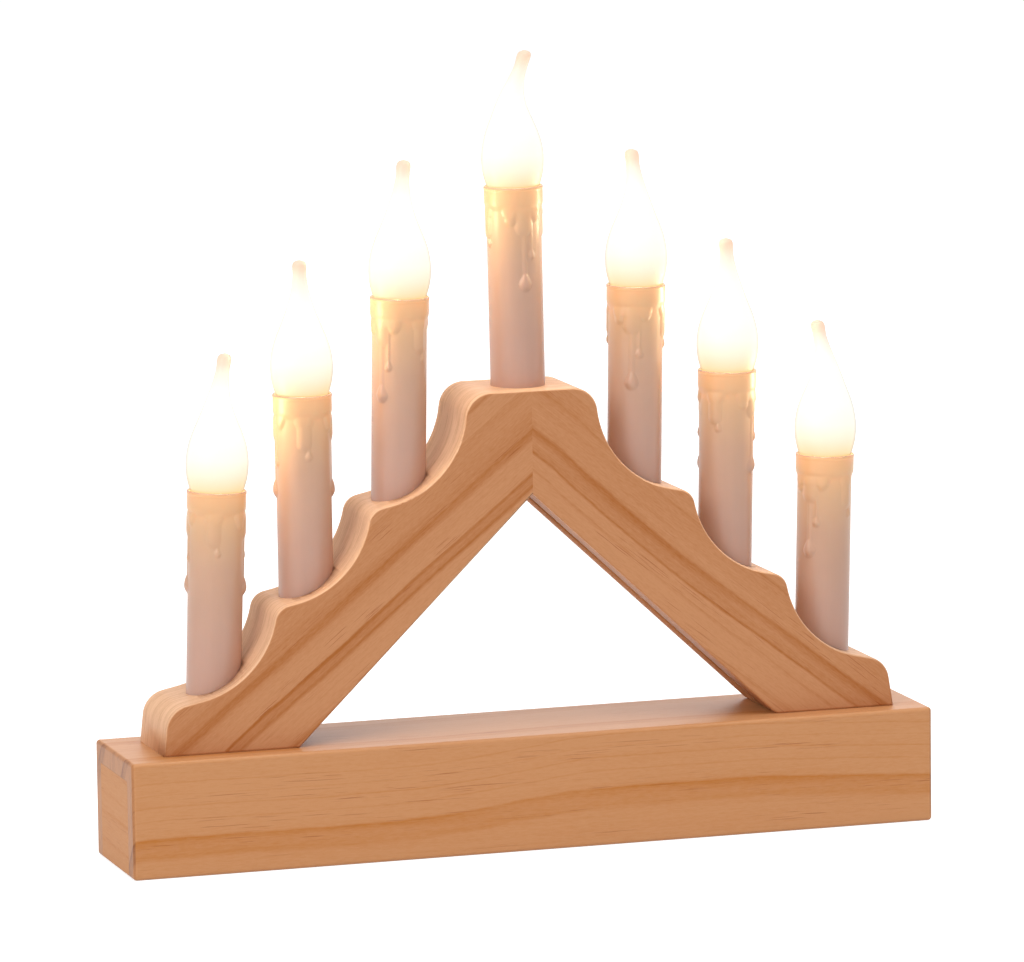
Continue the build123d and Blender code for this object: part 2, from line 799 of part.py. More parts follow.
def flame_sections(inset, share_limit):
    """Circles up the flame glass, set in from its surface, up to a share of its height."""
    neck = cap_collar_radius - inset
    rim_share = flame_radius_shares[0]
    sections = [
        Pos(0, 0, cap_top) * Circle(neck),
        Pos(0, 0, (cap_top + sleeve_stand) / 2) * Circle(
            neck + (flame_radius * rim_share - cap_collar_radius) * waist_share)]
    for height, radius, bend in zip(flame_height_shares, flame_radius_shares, flame_bend_shares):
        if height <= share_limit:
            place = Pos(bend * flame_bend, 0, sleeve_stand + height * flame_height)
            sections.append(place * Circle(radius * flame_radius - inset))
    return sections


def make_glass():
    """The frosted flame, blown hollow, with its drawn-out tip bent aside."""
    body = loft(flame_sections(0, 1))
    hollow = loft(flame_sections(glass_wall, hollow_share))
    return body - hollow


def make_stem():
    """The light source on its stem, held in the cap."""
    disc = cap_radius - cap_wall - fit_clearance
    disc_low = cap_top - stem_disc_height
    neck = cap_top + stem_rise
    led_top = neck + led_height
    body = turned([
        (0, disc_low), (disc, disc_low), (disc, cap_top), (stem_radius, cap_top), (stem_radius, neck),
        (led_radius, neck), (led_radius, led_top), (0, led_top)])
    return body + Pos(0, 0, led_top) * Sphere(led_radius)


def lead(points, radius):
    """A round lead along straight runs with bent corners."""
    path = FilletPolyline(*points, radius=lead_bend) if len(points) > 2 else Line(*points)
    start = Vector(*points[0])
    plane = Plane(origin=start, z_dir=Vector(*points[1]) - start)
    return sweep(plane * Circle(radius), path=path)


def holder_entry(number):
    """The middle of a lampholder's underside."""
    place = candle_place(number) * Pos(0, 0, holder_bottom)
    return tuple(place.position)


def make_wiring(side):
    """The leads of one leg: from the board up the groove, with one branch for each lamp."""
    start_x = switch_x + side * board_lead_pitch / 2
    board_top = board_z + board_thickness
    rise_x = arch_shift + side * (foot_candle_x - lead_rise_reach)
    numbers = (1, 2, 3, 4) if side < 0 else (7, 6, 5)
    foot, top = numbers[0], numbers[-1]
    turn_z = lead_line_z(side, candle_x(top))
    turn = candle_axis_point(top, turn_z)
    body = lead([
        (start_x, 0, board_top), (start_x, 0, lead_height), (rise_x, 0, lead_height),
        (rise_x, 0, lead_line_z(side, rise_x)), turn, holder_entry(top)], lead_radius)
    branch_x = rise_x - side * 2 * lead_bend
    body += lead([(branch_x, 0, lead_height), candle_axis_point(foot, lead_height), holder_entry(foot)],
                 branch_radius)
    for number in numbers[1:-1]:
        joint = candle_axis_point(number, lead_line_z(side, candle_x(number)))
        body += lead([joint, holder_entry(number)], branch_radius)
    return body


def group(solid, places):
    """Copies of one solid at several places, as separate solids."""
    return Compound(children=[place * solid for place in places])


def make_nodes():
    """Every piece of the candle arch by its node name."""
    nodes = {
        "base_channel": make_base_channel(),
        "end_plug_left": make_end_plug(-1),
        "end_plug_right": make_end_plug(1),
        "bottom_plate": make_bottom_plate(),
        "arch_leg_left": make_leg(-1),
        "arch_leg_right": make_leg(1),
        "battery_box": make_battery_box(),
        "battery_lid": make_battery_lid(),
        "battery_front": make_cell(-1),
        "battery_rear": make_cell(1),
        "contact_link": make_contact_link(),
        "contact_terminals": make_contact_terminals(),
        "timer_board": make_timer_board(),
        "switch_body": make_switch_body(),
        "switch_slider": make_switch_slider(),
        "wiring_left": make_wiring(-1),
        "wiring_right": make_wiring(1),
    }
    dowel = mitre_dowel()
    nodes["mitre_dowels"] = group(dowel, [Pos(0, row * dowel_spread / 2, 0) for row in (-1, 1)])
    head = cross_recess(arch_screw_head_radius, arch_screw_head_height)
    screw = arch_screw() - Pos(0, 0, web_underside) * head
    nodes["arch_screws"] = group(screw, [Pos(x, y, 0) for x, y in arch_screw_places()])
    head = cross_recess(plate_screw_head_radius, plate_screw_head_height)
    screw = plate_screw() - Pos(0, 0, plate_recess) * head
    nodes["plate_screws"] = group(screw, [Pos(x, y, 0) for x, y in plate_screw_places()])
    head = cross_recess(box_screw_head_radius, box_screw_head_height)
    screw = box_screw() - Pos(0, 0, box_flange_z - box_screw_head_height) * head
    nodes["box_screws"] = group(screw, [Pos(x, y, 0) for x, y in box_screw_places()])
    numbers = range(1, 8)
    places = [candle_place(number) for number in numbers]
    nodes["holder_bodies"] = group(make_holder_body(), places)
    nodes["holder_shells"] = group(make_holder_shell(), places)
    nodes["holder_contacts"] = group(make_holder_contact(), places)
    sleeve, glass, stem = make_sleeve(), make_glass(), make_stem()
    cap, tip = make_cap(), make_lamp_contact()
    for number, place in zip(numbers, places):
        nodes[f"sleeve_{number}"] = place * Rot(0, 0, sleeve_turns[number - 1]) * sleeve
        nodes[f"flame_glass_{number}"] = place * Rot(0, 0, flame_turns[number - 1]) * glass
        nodes[f"lamp_stem_{number}"] = place * stem
        nodes[f"lamp_cap_{number}"] = place * cap
        nodes[f"lamp_contact_{number}"] = place * tip
    return nodes


os.makedirs("parts", exist_ok=True)
for name, shape in make_nodes().items():
    export_step(shape, f"parts/{name}.step")
    print(name, len(shape.solids()), round(sum(solid.volume for solid in shape.solids()), 1))
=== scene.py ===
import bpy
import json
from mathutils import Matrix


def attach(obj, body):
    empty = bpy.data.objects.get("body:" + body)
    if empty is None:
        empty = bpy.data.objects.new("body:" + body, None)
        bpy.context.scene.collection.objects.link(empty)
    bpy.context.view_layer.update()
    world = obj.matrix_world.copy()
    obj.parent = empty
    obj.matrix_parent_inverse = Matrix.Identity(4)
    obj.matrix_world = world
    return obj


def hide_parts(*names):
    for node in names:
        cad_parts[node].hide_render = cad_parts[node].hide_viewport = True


bl_info = {
    "name": "Candle Arch",
    "version": (1, 0, 0),
    "blender": (4, 5, 0),
    "location": "View3D > Sidebar > Candle Arch",
    "description": "Stepped pine candle arch with lit flame lamps on candle sleeves",
    "category": "Add Mesh",
}

import json
from math import atan2, cos, hypot, pi, radians, sin

import bmesh
import bpy
from mathutils import Matrix, Vector

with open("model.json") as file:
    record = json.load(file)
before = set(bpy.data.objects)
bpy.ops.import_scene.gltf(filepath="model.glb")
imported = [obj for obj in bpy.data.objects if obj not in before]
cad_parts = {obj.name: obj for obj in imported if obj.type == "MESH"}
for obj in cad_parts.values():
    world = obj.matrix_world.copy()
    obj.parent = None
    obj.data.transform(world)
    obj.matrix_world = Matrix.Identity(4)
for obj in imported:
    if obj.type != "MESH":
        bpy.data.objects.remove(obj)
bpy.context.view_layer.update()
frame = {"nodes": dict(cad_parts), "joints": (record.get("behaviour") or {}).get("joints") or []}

CANDLES = range(1, 8)
JOINTS = {joint["name"]: joint for joint in frame["joints"]}
MM = 0.001

# Each sleeve and each flame is turned its own way about its axis, in degrees
SLEEVE_TURNS = (162, 170, -146, -86, -116, -42, -142)
FLAME_TURNS = (51, -107, 60, -17, 94, -121, 113)

# Wax drips of one sleeve: angle in degrees, length below the rim in mm, half width in mm
LOBES = (
    (0, 15.2, 3.1), (27, 11.0, 1.9), (87, 17.0, 2.4), (151, 11.6, 2.0), (180, 15.5, 3.1), (206, 10.8, 1.9),
    (267, 16.6, 2.4), (331, 12.0, 2.0))
RUNS = (
    (16, 22.5, 1.3), (193, 21.8, 1.3), (0, 32.3, 2.2), (180, 32.6, 2.2), (96, 20.0, 1.2), (275, 19.0, 1.2))

# Outline of the flame glass above the rim: height, radius and sideways bend as shares
FLAME_OUTLINE = (
    (0.0, 0.855, 0.0), (0.1, 0.966, 0.0), (0.21, 1.0, 0.0), (0.32, 0.94, 0.0), (0.42, 0.81, -0.02),
    (0.51, 0.65, -0.035), (0.605, 0.49, -0.03), (0.7, 0.36, 0.12), (0.79, 0.268, 0.4), (0.885, 0.22, 0.75),
    (0.955, 0.228, 0.96), (0.987, 0.165, 1.0), (1.0, 0.0, 1.0))

# How the wax lies on a sleeve, in mm: the collar under the rim, how the broad drips widen into it and
# where they swell, and the width of a tear that stands out fully
COLLAR_DROP, COLLAR_EDGE = 7.4, 2.6
FLARE_WIDTH, FLARE_DROP = 2.2, 9.5
SWELL_START, SWELL_EDGE = 6.0, 3.5
FULL_TEAR = 2.0

# In metres: how far below the rim the wax is modelled, and the bevel of the rim's edges
WAX_REACH = 0.0345
RIM_EDGE = 0.00022

# Steps round a sleeve and round a flame
SLEEVE_STEPS = 168
FLAME_STEPS = 64

# Growth rings: distance across the grain in mm, and how dark the wood is there
LEFT_RINGS = (
    (-14, 0.05), (-9.2, 0.08), (-8.2, 0.7), (-7.7, 0.45), (-6.6, 0.08), (-1, 0.05), (1.4, 0.12), (2.5, 0.85),
    (3.2, 0.52), (4.7, 0.48), (5.4, 0.92), (5.9, 0.85), (6.3, 0.1), (10, 0.03), (13.2, 0.16), (14.8, 0.7),
    (16.2, 0.72), (17.3, 0.36), (19.2, 0.3), (23, 0.22), (28, 0.26))
RIGHT_RINGS = (
    (-12, 0.04), (-6, 0.05), (-4.8, 0.3), (-4.3, 0.05), (3.0, 0.05), (4.2, 0.34), (4.6, 0.08), (7.6, 0.1),
    (8.3, 0.88), (8.9, 0.4), (11.4, 0.34), (13.0, 0.66), (14.2, 0.8), (15.0, 0.26), (16.6, 0.14), (20, 0.2),
    (24, 0.24), (25, 0.45), (25.5, 0.22), (30, 0.24))
BASE_RINGS = (
    (-14, 0.06), (-9, 0.08), (-6.8, 0.16), (-5.6, 0.52), (-3.2, 0.42), (-1.2, 0.6), (-0.1, 0.85), (0.7, 0.12),
    (5.2, 0.05), (5.6, 0.4), (5.9, 0.08), (9.3, 0.05), (9.6, 0.45), (10.0, 0.1), (12.9, 0.05), (13.1, 0.3),
    (13.4, 0.06), (16.6, 0.05), (16.9, 0.4), (17.3, 0.08), (22, 0.05))
PLAIN_RINGS = ((0, 0.08), (5, 0.1), (6, 0.4), (6.6, 0.1), (11, 0.1), (12, 0.3), (12.5, 0.08), (15, 0.08))
DOWEL_RINGS = ((0, 0.1), (3, 0.1), (4, 0.4), (5, 0.1))

# How a board's rings bow: where it starts and ends along the board, how far it goes, and its curve
RIGHT_BOW = (0.0, 0.16, 0.003, ((0.0, 0.9), (0.1, 0.45), (0.22, 0.1), (0.45, 0.0), (0.7, 0.25), (1.0, 0.9)))
BASE_BOW = (-0.13, 0.13, 0.0065, (
    (0.0, 0.0), (0.08, 0.14), (0.3, 0.1), (0.4, 0.3), (0.5, 0.72), (0.58, 0.98), (0.72, 1.0), (0.86, 0.8),
    (1.0, 0.5)))

# The legs' inner corner, their pitch in degrees, and the front faces of the legs and of the base
APEX = (0.0015, 0.0, 0.1106)
LEG_PITCH = 38.9
LEG_FRONT = -0.01465
BASE_FRONT = -0.02225

# Softboxes: name, place, size and power in watts
SOFTBOXES = (
    ("Key light", (-1.6, -0.9, 1.05), 1.2, 16.0), ("Top light", (0.1, -0.45, 1.7), 1.4, 15.5),
    ("Back light", (0.7, 1.6, 0.9), 1.2, 6.0))
SOFTBOX_AIM = (0, 0, 0.1)
FLOOR_REACH = 6.0

# Edges sharper than these angles stay sharp where a mesh shades smoothly
SHARP = radians(34)
SLEEVE_SHARP = radians(50)
FLAME_SHARP = radians(60)


def srgb(red, green, blue):
    """A colour given in screen values from 0 to 255, as the linear value that a shader takes."""
    def linear(value):
        share = value / 255
        return share / 12.92 if share <= 0.04045 else ((share + 0.055) / 1.055) ** 2.4
    return (linear(red), linear(green), linear(blue))


def colour(name, text, value):
    """A colour setting."""
    return bpy.props.FloatVectorProperty(name=name, description=text, subtype="COLOR", size=3, min=0,
                                         max=1, default=value)


def length(name, text, value):
    """A length setting, in metres."""
    return bpy.props.FloatProperty(name=name, description=text, subtype="DISTANCE", unit="LENGTH", min=0,
                                   default=value)


class PineLooks(bpy.types.PropertyGroup):
    """Colours of the lacquered pine."""

    leg_early: colour("Leg, early wood", "Pale wood between the rings of the legs", srgb(197, 140, 99))
    leg_late: colour("Leg, late wood", "Amber rings of the legs", srgb(167, 99, 48))
    base_early: colour("Base, early wood", "Pale wood between the rings of the base", srgb(198, 141, 95))
    base_late: colour("Base, late wood", "Amber rings of the base", srgb(183, 113, 48))
    dash: colour("Resin", "Short dark resin streaks", srgb(138, 62, 22))
    # Sawn colours: partly the real cut faces, partly painted top light and sheen on upward faces
    sawn_and_top_light: colour("Leg, sawn faces", "Pale seats and noses of the legs", srgb(229, 183, 146))
    sawn_and_top_light_late: colour("Leg, sawn rings", "Rings on the seats and noses", srgb(192, 139, 100))
    end: colour("Base, end grain", "Cut ends of the base", srgb(179, 121, 76))
    end_late: colour("Base, end rings", "Rings on the cut ends", srgb(122, 70, 40))
    plate: colour("Plate", "Plain board under the base", srgb(150, 108, 72))


class SleeveSizes(bpy.types.PropertyGroup):
    """Sizes and colours of the candle sleeves."""

    stand: length("Stand", "Height of the rim above the seat", 0.0629)
    depth: length("Depth", "How deep the sleeve stands in its bore", 0.0085)
    radius: length("Radius", "Outer radius", 0.0085)
    bore: length("Bore", "Inner radius", 0.0075)
    rim: length("Rim", "Outer radius of the rim", 0.0092)
    rim_height: length("Rim height", "Height of the rim", 0.0012)
    mouth: length("Mouth", "Inner radius at the rim", 0.0087)
    mouth_depth: length("Mouth depth", "Depth of the widened mouth", 0.004)
    proud: length("Proud", "How far the thickest drip stands out", 0.001)
    collar: length("Collar", "How far the wax stands out under the rim", 0.00062)
    wax: colour("Wax", "Colour of the plastic", srgb(192, 151, 134))
    # The glow colour paints the lamp's light into the wax colour and into its emission
    glow: colour("Glow", "Light that shines through near the lamp", srgb(240, 190, 121))


class LampSizes(bpy.types.PropertyGroup):
    """Sizes and colours of the flame lamps."""

    height: length("Height", "Height of the flame above the rim", 0.0418)
    radius: length("Radius", "Largest radius of the flame", 0.0097)
    bend: length("Bend", "How far the tip leans aside", 0.0044)
    neck: length("Neck", "Radius of the glass at its cap", 0.0056)
    neck_drop: length("Neck drop", "How far below the rim the glass begins", 0.008)
    glass: colour("Glass", "Frosted glass", srgb(150, 146, 140))
    foot: colour("Foot", "Lit glass at the rim", srgb(222, 189, 120))
    body: colour("Flame", "Lit glass in the middle of the flame", srgb(231, 231, 220))
    tip: colour("Tip", "Drawn-out tip of the glass", srgb(212, 156, 108))
    light: colour("Light", "Light that the lamp gives", srgb(255, 226, 178))
    power: bpy.props.FloatProperty(name="Power", description="Light of one lamp in watts", default=0.04,
                                   min=0)


class StageLooks(bpy.types.PropertyGroup):
    """Camera and light."""

    yaw: bpy.props.FloatProperty(name="Yaw", description="How far the camera stands round to the left",
                                 subtype="ANGLE", default=0.3056966)
    pitch: bpy.props.FloatProperty(name="Pitch", description="How far the camera looks down",
                                   subtype="ANGLE", default=0.15476847)
    roll: bpy.props.FloatProperty(name="Roll", description="How far the camera is tilted", subtype="ANGLE",
                                  default=-0.01234785)
    distance: length("Distance", "From the camera to the object", 2.2699)
    target: bpy.props.FloatVectorProperty(name="Target", description="The point that the camera looks at",
                                          subtype="TRANSLATION", unit="LENGTH",
                                          default=(-0.000635, 0.0, 0.11282))
    focal: bpy.props.FloatProperty(name="Focal length", description="In millimetres", default=256.893,
                                   min=1)
    sky: bpy.props.FloatProperty(name="Sky", description="Light from all sides", default=0.67, min=0)


# Materials


class Shader:
    """Builds the nodes of one material, or of the world."""

    def __init__(self, owner, output="OutputMaterial"):
        owner.use_nodes = True
        self.owner = owner
        self.tree = owner.node_tree
        self.tree.nodes.clear()
        self.output = self.node(output)

    def put(self, socket, value):
        """Links a socket to another one, or sets its value."""
        if isinstance(value, bpy.types.NodeSocket):
            self.tree.links.new(value, socket)
        elif isinstance(value, tuple) and socket.type == "RGBA" and len(value) == 3:
            socket.default_value = (*value, 1.0)
        else:
            socket.default_value = value

    def node(self, kind, inputs=(), **settings):
        """A node with its settings, and its first inputs in order."""
        made = self.tree.nodes.new("ShaderNode" + kind)
        for key, value in settings.items():
            setattr(made, key, value)
        for index, value in enumerate(inputs):
            self.put(made.inputs[index], value)
        return made

    def coords(self):
        """Where a point lies on the object."""
        return self.node("TexCoord").outputs["Object"]

    def attribute(self, name):
        """A value that the mesh carries."""
        return self.node("Attribute", attribute_name=name).outputs["Fac"]

    def math(self, operation, *values, clamp=False):
        return self.node("Math", values, operation=operation, use_clamp=clamp).outputs[0]

    def vector(self, operation, *values):
        return self.node("VectorMath", values, operation=operation).outputs[0]

    def sway(self, value, middle, size, onto, clamp=False):
        """Adds to a tone how far a value lies from its middle, times a size."""
        away = self.math("SUBTRACT", value, middle)
        return self.math("MULTIPLY_ADD", away, size, onto, clamp=clamp)

    def mix(self, factor, first, second):
        """A colour between two others."""
        made = self.node("Mix", data_type="RGBA")
        self.put(made.inputs[0], factor)
        self.put(made.inputs[6], first)
        self.put(made.inputs[7], second)
        return made.outputs[2]

    def spread(self, value, low, high, to_low=0.0, to_high=1.0, smooth=False):
        """A value's range spread onto another range."""
        kind = "SMOOTHSTEP" if smooth else "LINEAR"
        return self.node("MapRange", (value, low, high, to_low, to_high), interpolation_type=kind).outputs[0]

    def noise(self, vector, scale, detail=2.0, rough=0.5):
        made = self.node("TexNoise")
        self.put(made.inputs["Vector"], vector)
        for key, value in (("Scale", scale), ("Detail", detail), ("Roughness", rough)):
            made.inputs[key].default_value = value
        return made.outputs["Fac"]

    def ramp(self, value, stops):
        """A ramp through stops of a place and a grey or a colour."""
        made = self.node("ValToRGB", (value,))
        elements = made.color_ramp.elements
        while len(elements) < len(stops):
            elements.new(0.5)
        for element, (place, shade) in zip(elements, stops):
            element.position = place
            element.color = (shade,) * 3 + (1.0,) if isinstance(shade, (int, float)) else (*shade, 1.0)
        return made.outputs[0]

    def curve(self, value, points):
        """A smooth curve through points."""
        made = self.node("FloatCurve")
        self.put(made.inputs["Value"], value)
        line = made.mapping.curves[0]
        line.points[0].location, line.points[1].location = points[0], points[-1]
        for point in points[1:-1]:
            line.points.new(*point)
        made.mapping.update()
        return made.outputs[0]

    def surface(self, bump, bump_size, bump_strength=1.0, **sockets):
        """The finished surface, with a fine relief."""
        made = self.node("BsdfPrincipled")
        for key, value in sockets.items():
            self.put(made.inputs[key.replace("_", " ")], value)
        raised = self.node("Bump")
        self.put(raised.inputs["Height"], bump)
        raised.inputs["Strength"].default_value = bump_strength
        raised.inputs["Distance"].default_value = bump_size
        self.put(made.inputs["Normal"], raised.outputs[0])
        self.finish(made)

    def finish(self, last):
        """Leads the last node to the output."""
        self.tree.links.new(last.outputs[0], self.output.inputs[0])


class Grain:
    """How one board was cut: where its growth rings lie and how its fibres run."""

    def __init__(self, origin, turn, rings, slope, front, colours, bow, seed, dashes=0.5, sawn_and_top_light=0.0,
                 gloss=0.1):
        self.origin = origin
        self.turn = turn
        self.rings = rings
        self.slope = slope
        self.front = front
        self.bow = bow
        self.seed = seed
        self.early, self.late, self.end, self.end_late = colours
        self.dashes = dashes
        # How far upward faces take the pale sawn colour, which is partly painted top light and sheen
        self.sawn_and_top_light = sawn_and_top_light
        self.gloss = gloss


def pine(name, grain):
    """Lacquered pine with rings, fibres and resin streaks that follow the board's own grain."""
    looks = bpy.context.scene.pine_looks
    shader = Shader(bpy.data.materials.new(name))
    coords = shader.node("TexCoord")

    def turned(output, origin):
        """A vector of the object, seen along the board's grain."""
        return shader.node("Mapping", (coords.outputs[output], origin, grain.turn),
                           vector_type="TEXTURE").outputs[0]

    placed = turned("Object", grain.origin)
    seeded = shader.vector("ADD", placed, (grain.seed, grain.seed * 0.37, grain.seed * 0.73))
    along, depth, across = shader.node("SeparateXYZ", (placed,)).outputs

    def texture(scales, detail=2.0, rough=0.5):
        """Noise, finer or coarser along the grain, into the board and across it."""
        return shader.noise(shader.vector("MULTIPLY", seeded, scales), 1.0, detail, rough)

    # The rings, with their waves and their bow
    waves = texture((14, 30, 18), 1.0)
    ripple = texture((60, 120, 160))
    shift = shader.math("MULTIPLY_ADD", waves, 0.0022, -0.0011)
    shift = shader.math("MULTIPLY_ADD", ripple, 0.0009, shift)
    if grain.bow:
        low, high, size, points = grain.bow
        bow = shader.curve(shader.spread(along, low, high), points)
        shift = shader.math("MULTIPLY_ADD", bow, -size, shift)
    inward = shader.math("SUBTRACT", depth, grain.front)
    line = shader.math("MULTIPLY_ADD", inward, grain.slope, shader.math("ADD", across, shift))
    first, last = grain.rings[0][0] * MM, grain.rings[-1][0] * MM
    share = shader.math("FRACT", shader.math("DIVIDE", shader.math("SUBTRACT", line, first), last - first))
    stops = [((place * MM - first) / (last - first), shade) for place, shade in grain.rings]
    force = shader.spread(texture((16, 60, 240)), 0.3, 0.7, 0.75, 1.2)
    ring = shader.math("MULTIPLY", shader.ramp(share, stops), force)

    # Faces along the grain
    fibres = texture((220, 5200, 5200), 2.0, 0.6)
    tone = shader.sway(texture((10, 800, 800), 3.0, 0.62), 0.45, 0.42, ring)
    tone = shader.sway(texture((12, 60, 60)), 0.5, 0.3, tone)
    tone = shader.sway(texture((420, 2100, 2100), 2.0, 0.6), 0.5, 0.62, tone)
    tone = shader.sway(fibres, 0.5, 0.36, tone, clamp=True)
    wood = shader.mix(tone, grain.early, grain.late)

    # Resin streaks
    dashes = shader.spread(texture((64, 2600, 3300), 1.0, 0.6), 0.64, 0.71)
    where = shader.spread(texture((12, 90, 210), 1.0), 0.5, 0.6)
    dashed = shader.math("MULTIPLY", dashes, where, clamp=True)
    wood = shader.mix(shader.math("MULTIPLY", dashed, grain.dashes), wood, tuple(looks.dash))

    # Cut ends, and the sawn seats and noses; upward faces are made paler partly as painted top light and
    # sheen
    facing_along, _, facing_up = shader.node("SeparateXYZ", (turned("Normal", (0, 0, 0)),)).outputs
    # Upward faces take the pale sawn colour: partly the real cut faces, partly painted top light and sheen
    facing = shader.math("MAXIMUM", shader.math("ABSOLUTE", facing_along),
                         shader.math("MULTIPLY", facing_up, grain.sawn_and_top_light))
    cut = shader.spread(facing, 0.25, 0.7, smooth=True)
    rings_cut = shader.math("MULTIPLY", ring, 0.9 - 0.65 * grain.sawn_and_top_light)
    cut_tone = shader.sway(texture((90, 1050, 110), 4.0, 0.66), 0.42, 0.35 + 1.15 * grain.sawn_and_top_light, rings_cut)
    cut_tone = shader.sway(texture((26, 380, 60), 2.0, 0.6), 0.5, 1.1, cut_tone)
    cut_tone = shader.sway(texture((900, 2600, 900), 2.0, 0.7), 0.5, 0.7, cut_tone, clamp=True)
    wood = shader.mix(cut, wood, shader.mix(cut_tone, grain.end, grain.end_late))

    height = shader.math("MULTIPLY_ADD", ring, 0.5, shader.math("MULTIPLY", fibres, 0.8))
    rough = shader.math("MULTIPLY_ADD", fibres, 0.12, 0.5 - 0.4 * grain.gloss)
    shader.surface(height, 0.00005, 0.5, Base_Color=wood, Roughness=rough, Specular_IOR_Level=grain.gloss)
    return shader.owner


def darker(shade, share):
    """A colour times a share."""
    return tuple(value * share for value in shade)


def moulded(name, base, rough=0.42):
    """Moulded plastic with a fine mould texture."""
    shader = Shader(bpy.data.materials.new(name))
    coords = shader.coords()
    fine = shader.noise(coords, 2600.0, 2.0, 0.6)
    broad = shader.noise(coords, 45.0)
    clouded = shader.math("MULTIPLY_ADD", broad, 0.6, shader.math("MULTIPLY", fine, 0.4))
    body = shader.mix(clouded, darker(base, 0.89), base)
    rough = shader.math("MULTIPLY_ADD", fine, 0.14, rough - 0.07)
    shader.surface(fine, 0.00003, Base_Color=body, Roughness=rough)
    return shader.owner


def metal(name, base):
    """Plated metal with fine scratches."""
    shader = Shader(bpy.data.materials.new(name))
    coords = shader.coords()
    scratch = shader.noise(shader.vector("MULTIPLY", coords, (1.0, 1.0, 6.0)), 900.0, 3.0, 0.7)
    body = shader.mix(shader.noise(coords, 160.0), darker(base, 0.72), base)
    rough = shader.math("MULTIPLY_ADD", scratch, 0.22, 0.2)
    shader.surface(scratch, 0.00001, Base_Color=body, Roughness=rough, Metallic=1.0)
    return shader.owner


def wax_plastic(name):
    """Slightly translucent candle plastic, warm where the lamp shines through it."""
    sizes = bpy.context.scene.sleeve_sizes
    wax, glow = tuple(sizes.wax), tuple(sizes.glow)
    shader = Shader(bpy.data.materials.new(name))
    coords = shader.coords()
    height, proud = shader.attribute("height"), shader.attribute("proud")
    veil = shader.noise(shader.vector("MULTIPLY", coords, (260, 260, 22)), 1.0, 3.0, 0.6)
    cloud = shader.noise(coords, 70.0)
    shade = shader.math("MULTIPLY_ADD", cloud, 0.5, shader.math("MULTIPLY", veil, 0.5))
    body = shader.mix(shader.spread(shade, 0.3, 0.7), darker(wax, 0.92), wax)

    # Warmer towards the lamp, a painted glow in the colour, with a darker lip that is painted shadow
    painted_lamp_glow = shader.ramp(height, ((0.0, 0.0), (0.25, 0.03), (0.62, 0.16), (0.78, 0.32), (0.9, 0.48),
                                  (0.985, 0.55), (1.0, 0.3)))
    warm = shader.mix(painted_lamp_glow, body, glow)
    # Painted shadow: the lip is darkened where the flame's foot would shade it from the lamp
    warm = shader.mix(shader.spread(height, 0.995, 0.9985), warm, darker(wax, 0.75))

    # Painted light that shines through, less where the wax is thick
    lit = shader.ramp(height, ((0.0, 0.0), (0.45, 0.005), (0.62, 0.02), (0.78, 0.045), (0.88, 0.085),
                               (0.95, 0.13), (0.985, 0.14), (1.0, 0.0)))
    lit = shader.math("MULTIPLY", lit, shader.spread(cloud, 0.3, 0.7, 0.85, 1.12))
    lit = shader.math("MULTIPLY", lit, shader.spread(proud, 0.0, 1.1, 1.3, 0.65))
    fine = shader.noise(coords, 900.0)
    shader.surface(fine, 0.00001, Base_Color=warm, Roughness=0.42, Coat_Weight=0.2, Coat_Roughness=0.25,
                   Emission_Color=glow, Emission_Strength=lit, Subsurface_Weight=0.3,
                   Subsurface_Radius=(0.003, 0.0016, 0.001), Subsurface_Scale=1.0)
    return shader.owner


def flame_glass(name):
    """Frosted glass with the light behind it."""
    sizes = bpy.context.scene.lamp_sizes
    foot, body, tip = tuple(sizes.foot), tuple(sizes.body), tuple(sizes.tip)
    shader = Shader(bpy.data.materials.new(name))

    def between(first, second, share):
        return tuple(a + (b - a) * share for a, b in zip(first, second))

    rise = ((0.0, 0.0), (0.06, 0.25), (0.13, 0.55), (0.24, 0.86), (0.4, 1.0))
    fade = ((0.66, 1.0), (0.74, 0.9), (0.8, 0.76), (0.86, 0.6), (0.925, 0.3), (1.0, 0.15))
    stops = [(place, between(foot, body, share)) for place, share in rise]
    stops += [(place, between(tip, body, share)) for place, share in fade]
    lit = shader.ramp(shader.attribute("height"), stops)
    frost = shader.noise(shader.coords(), 1800.0, 2.0, 0.6)

    # The glass wall looks darker at the flame's edge
    edge = shader.spread(shader.node("LayerWeight", (0.5,)).outputs["Facing"], 0.6, 0.9, 1.0, 0.45)
    glow = shader.math("MULTIPLY", shader.math("MULTIPLY_ADD", frost, 0.04, 0.98), edge)
    shader.surface(frost, 0.00002, Base_Color=tuple(sizes.glass), Roughness=0.45, Specular_IOR_Level=0.3,
                   Emission_Color=lit, Emission_Strength=glow)
    return shader.owner


def seen_directly(shader):
    """One for rays from the camera, also by way of gloss or glass, and zero for all others."""
    rays = shader.node("LightPath").outputs
    passed_on = shader.math("MAXIMUM", rays["Is Glossy Ray"], rays["Is Transmission Ray"])
    return shader.math("MAXIMUM", rays["Is Camera Ray"], passed_on)


# Meshes


def finish_piece(mesh, name, body, material, nodes, sharp=SHARP):
    """Puts a finished mesh on its body in place of the CAD nodes that it stands for."""
    data = bpy.data.meshes.new(name)
    mesh.to_mesh(data)
    mesh.free()
    data.shade_smooth()
    data.set_sharp_from_angle(angle=sharp)
    piece = bpy.data.objects.new(name, data)
    bpy.context.scene.collection.objects.link(piece)
    data.materials.append(material)
    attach(piece, body)
    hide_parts(*nodes)
    return piece


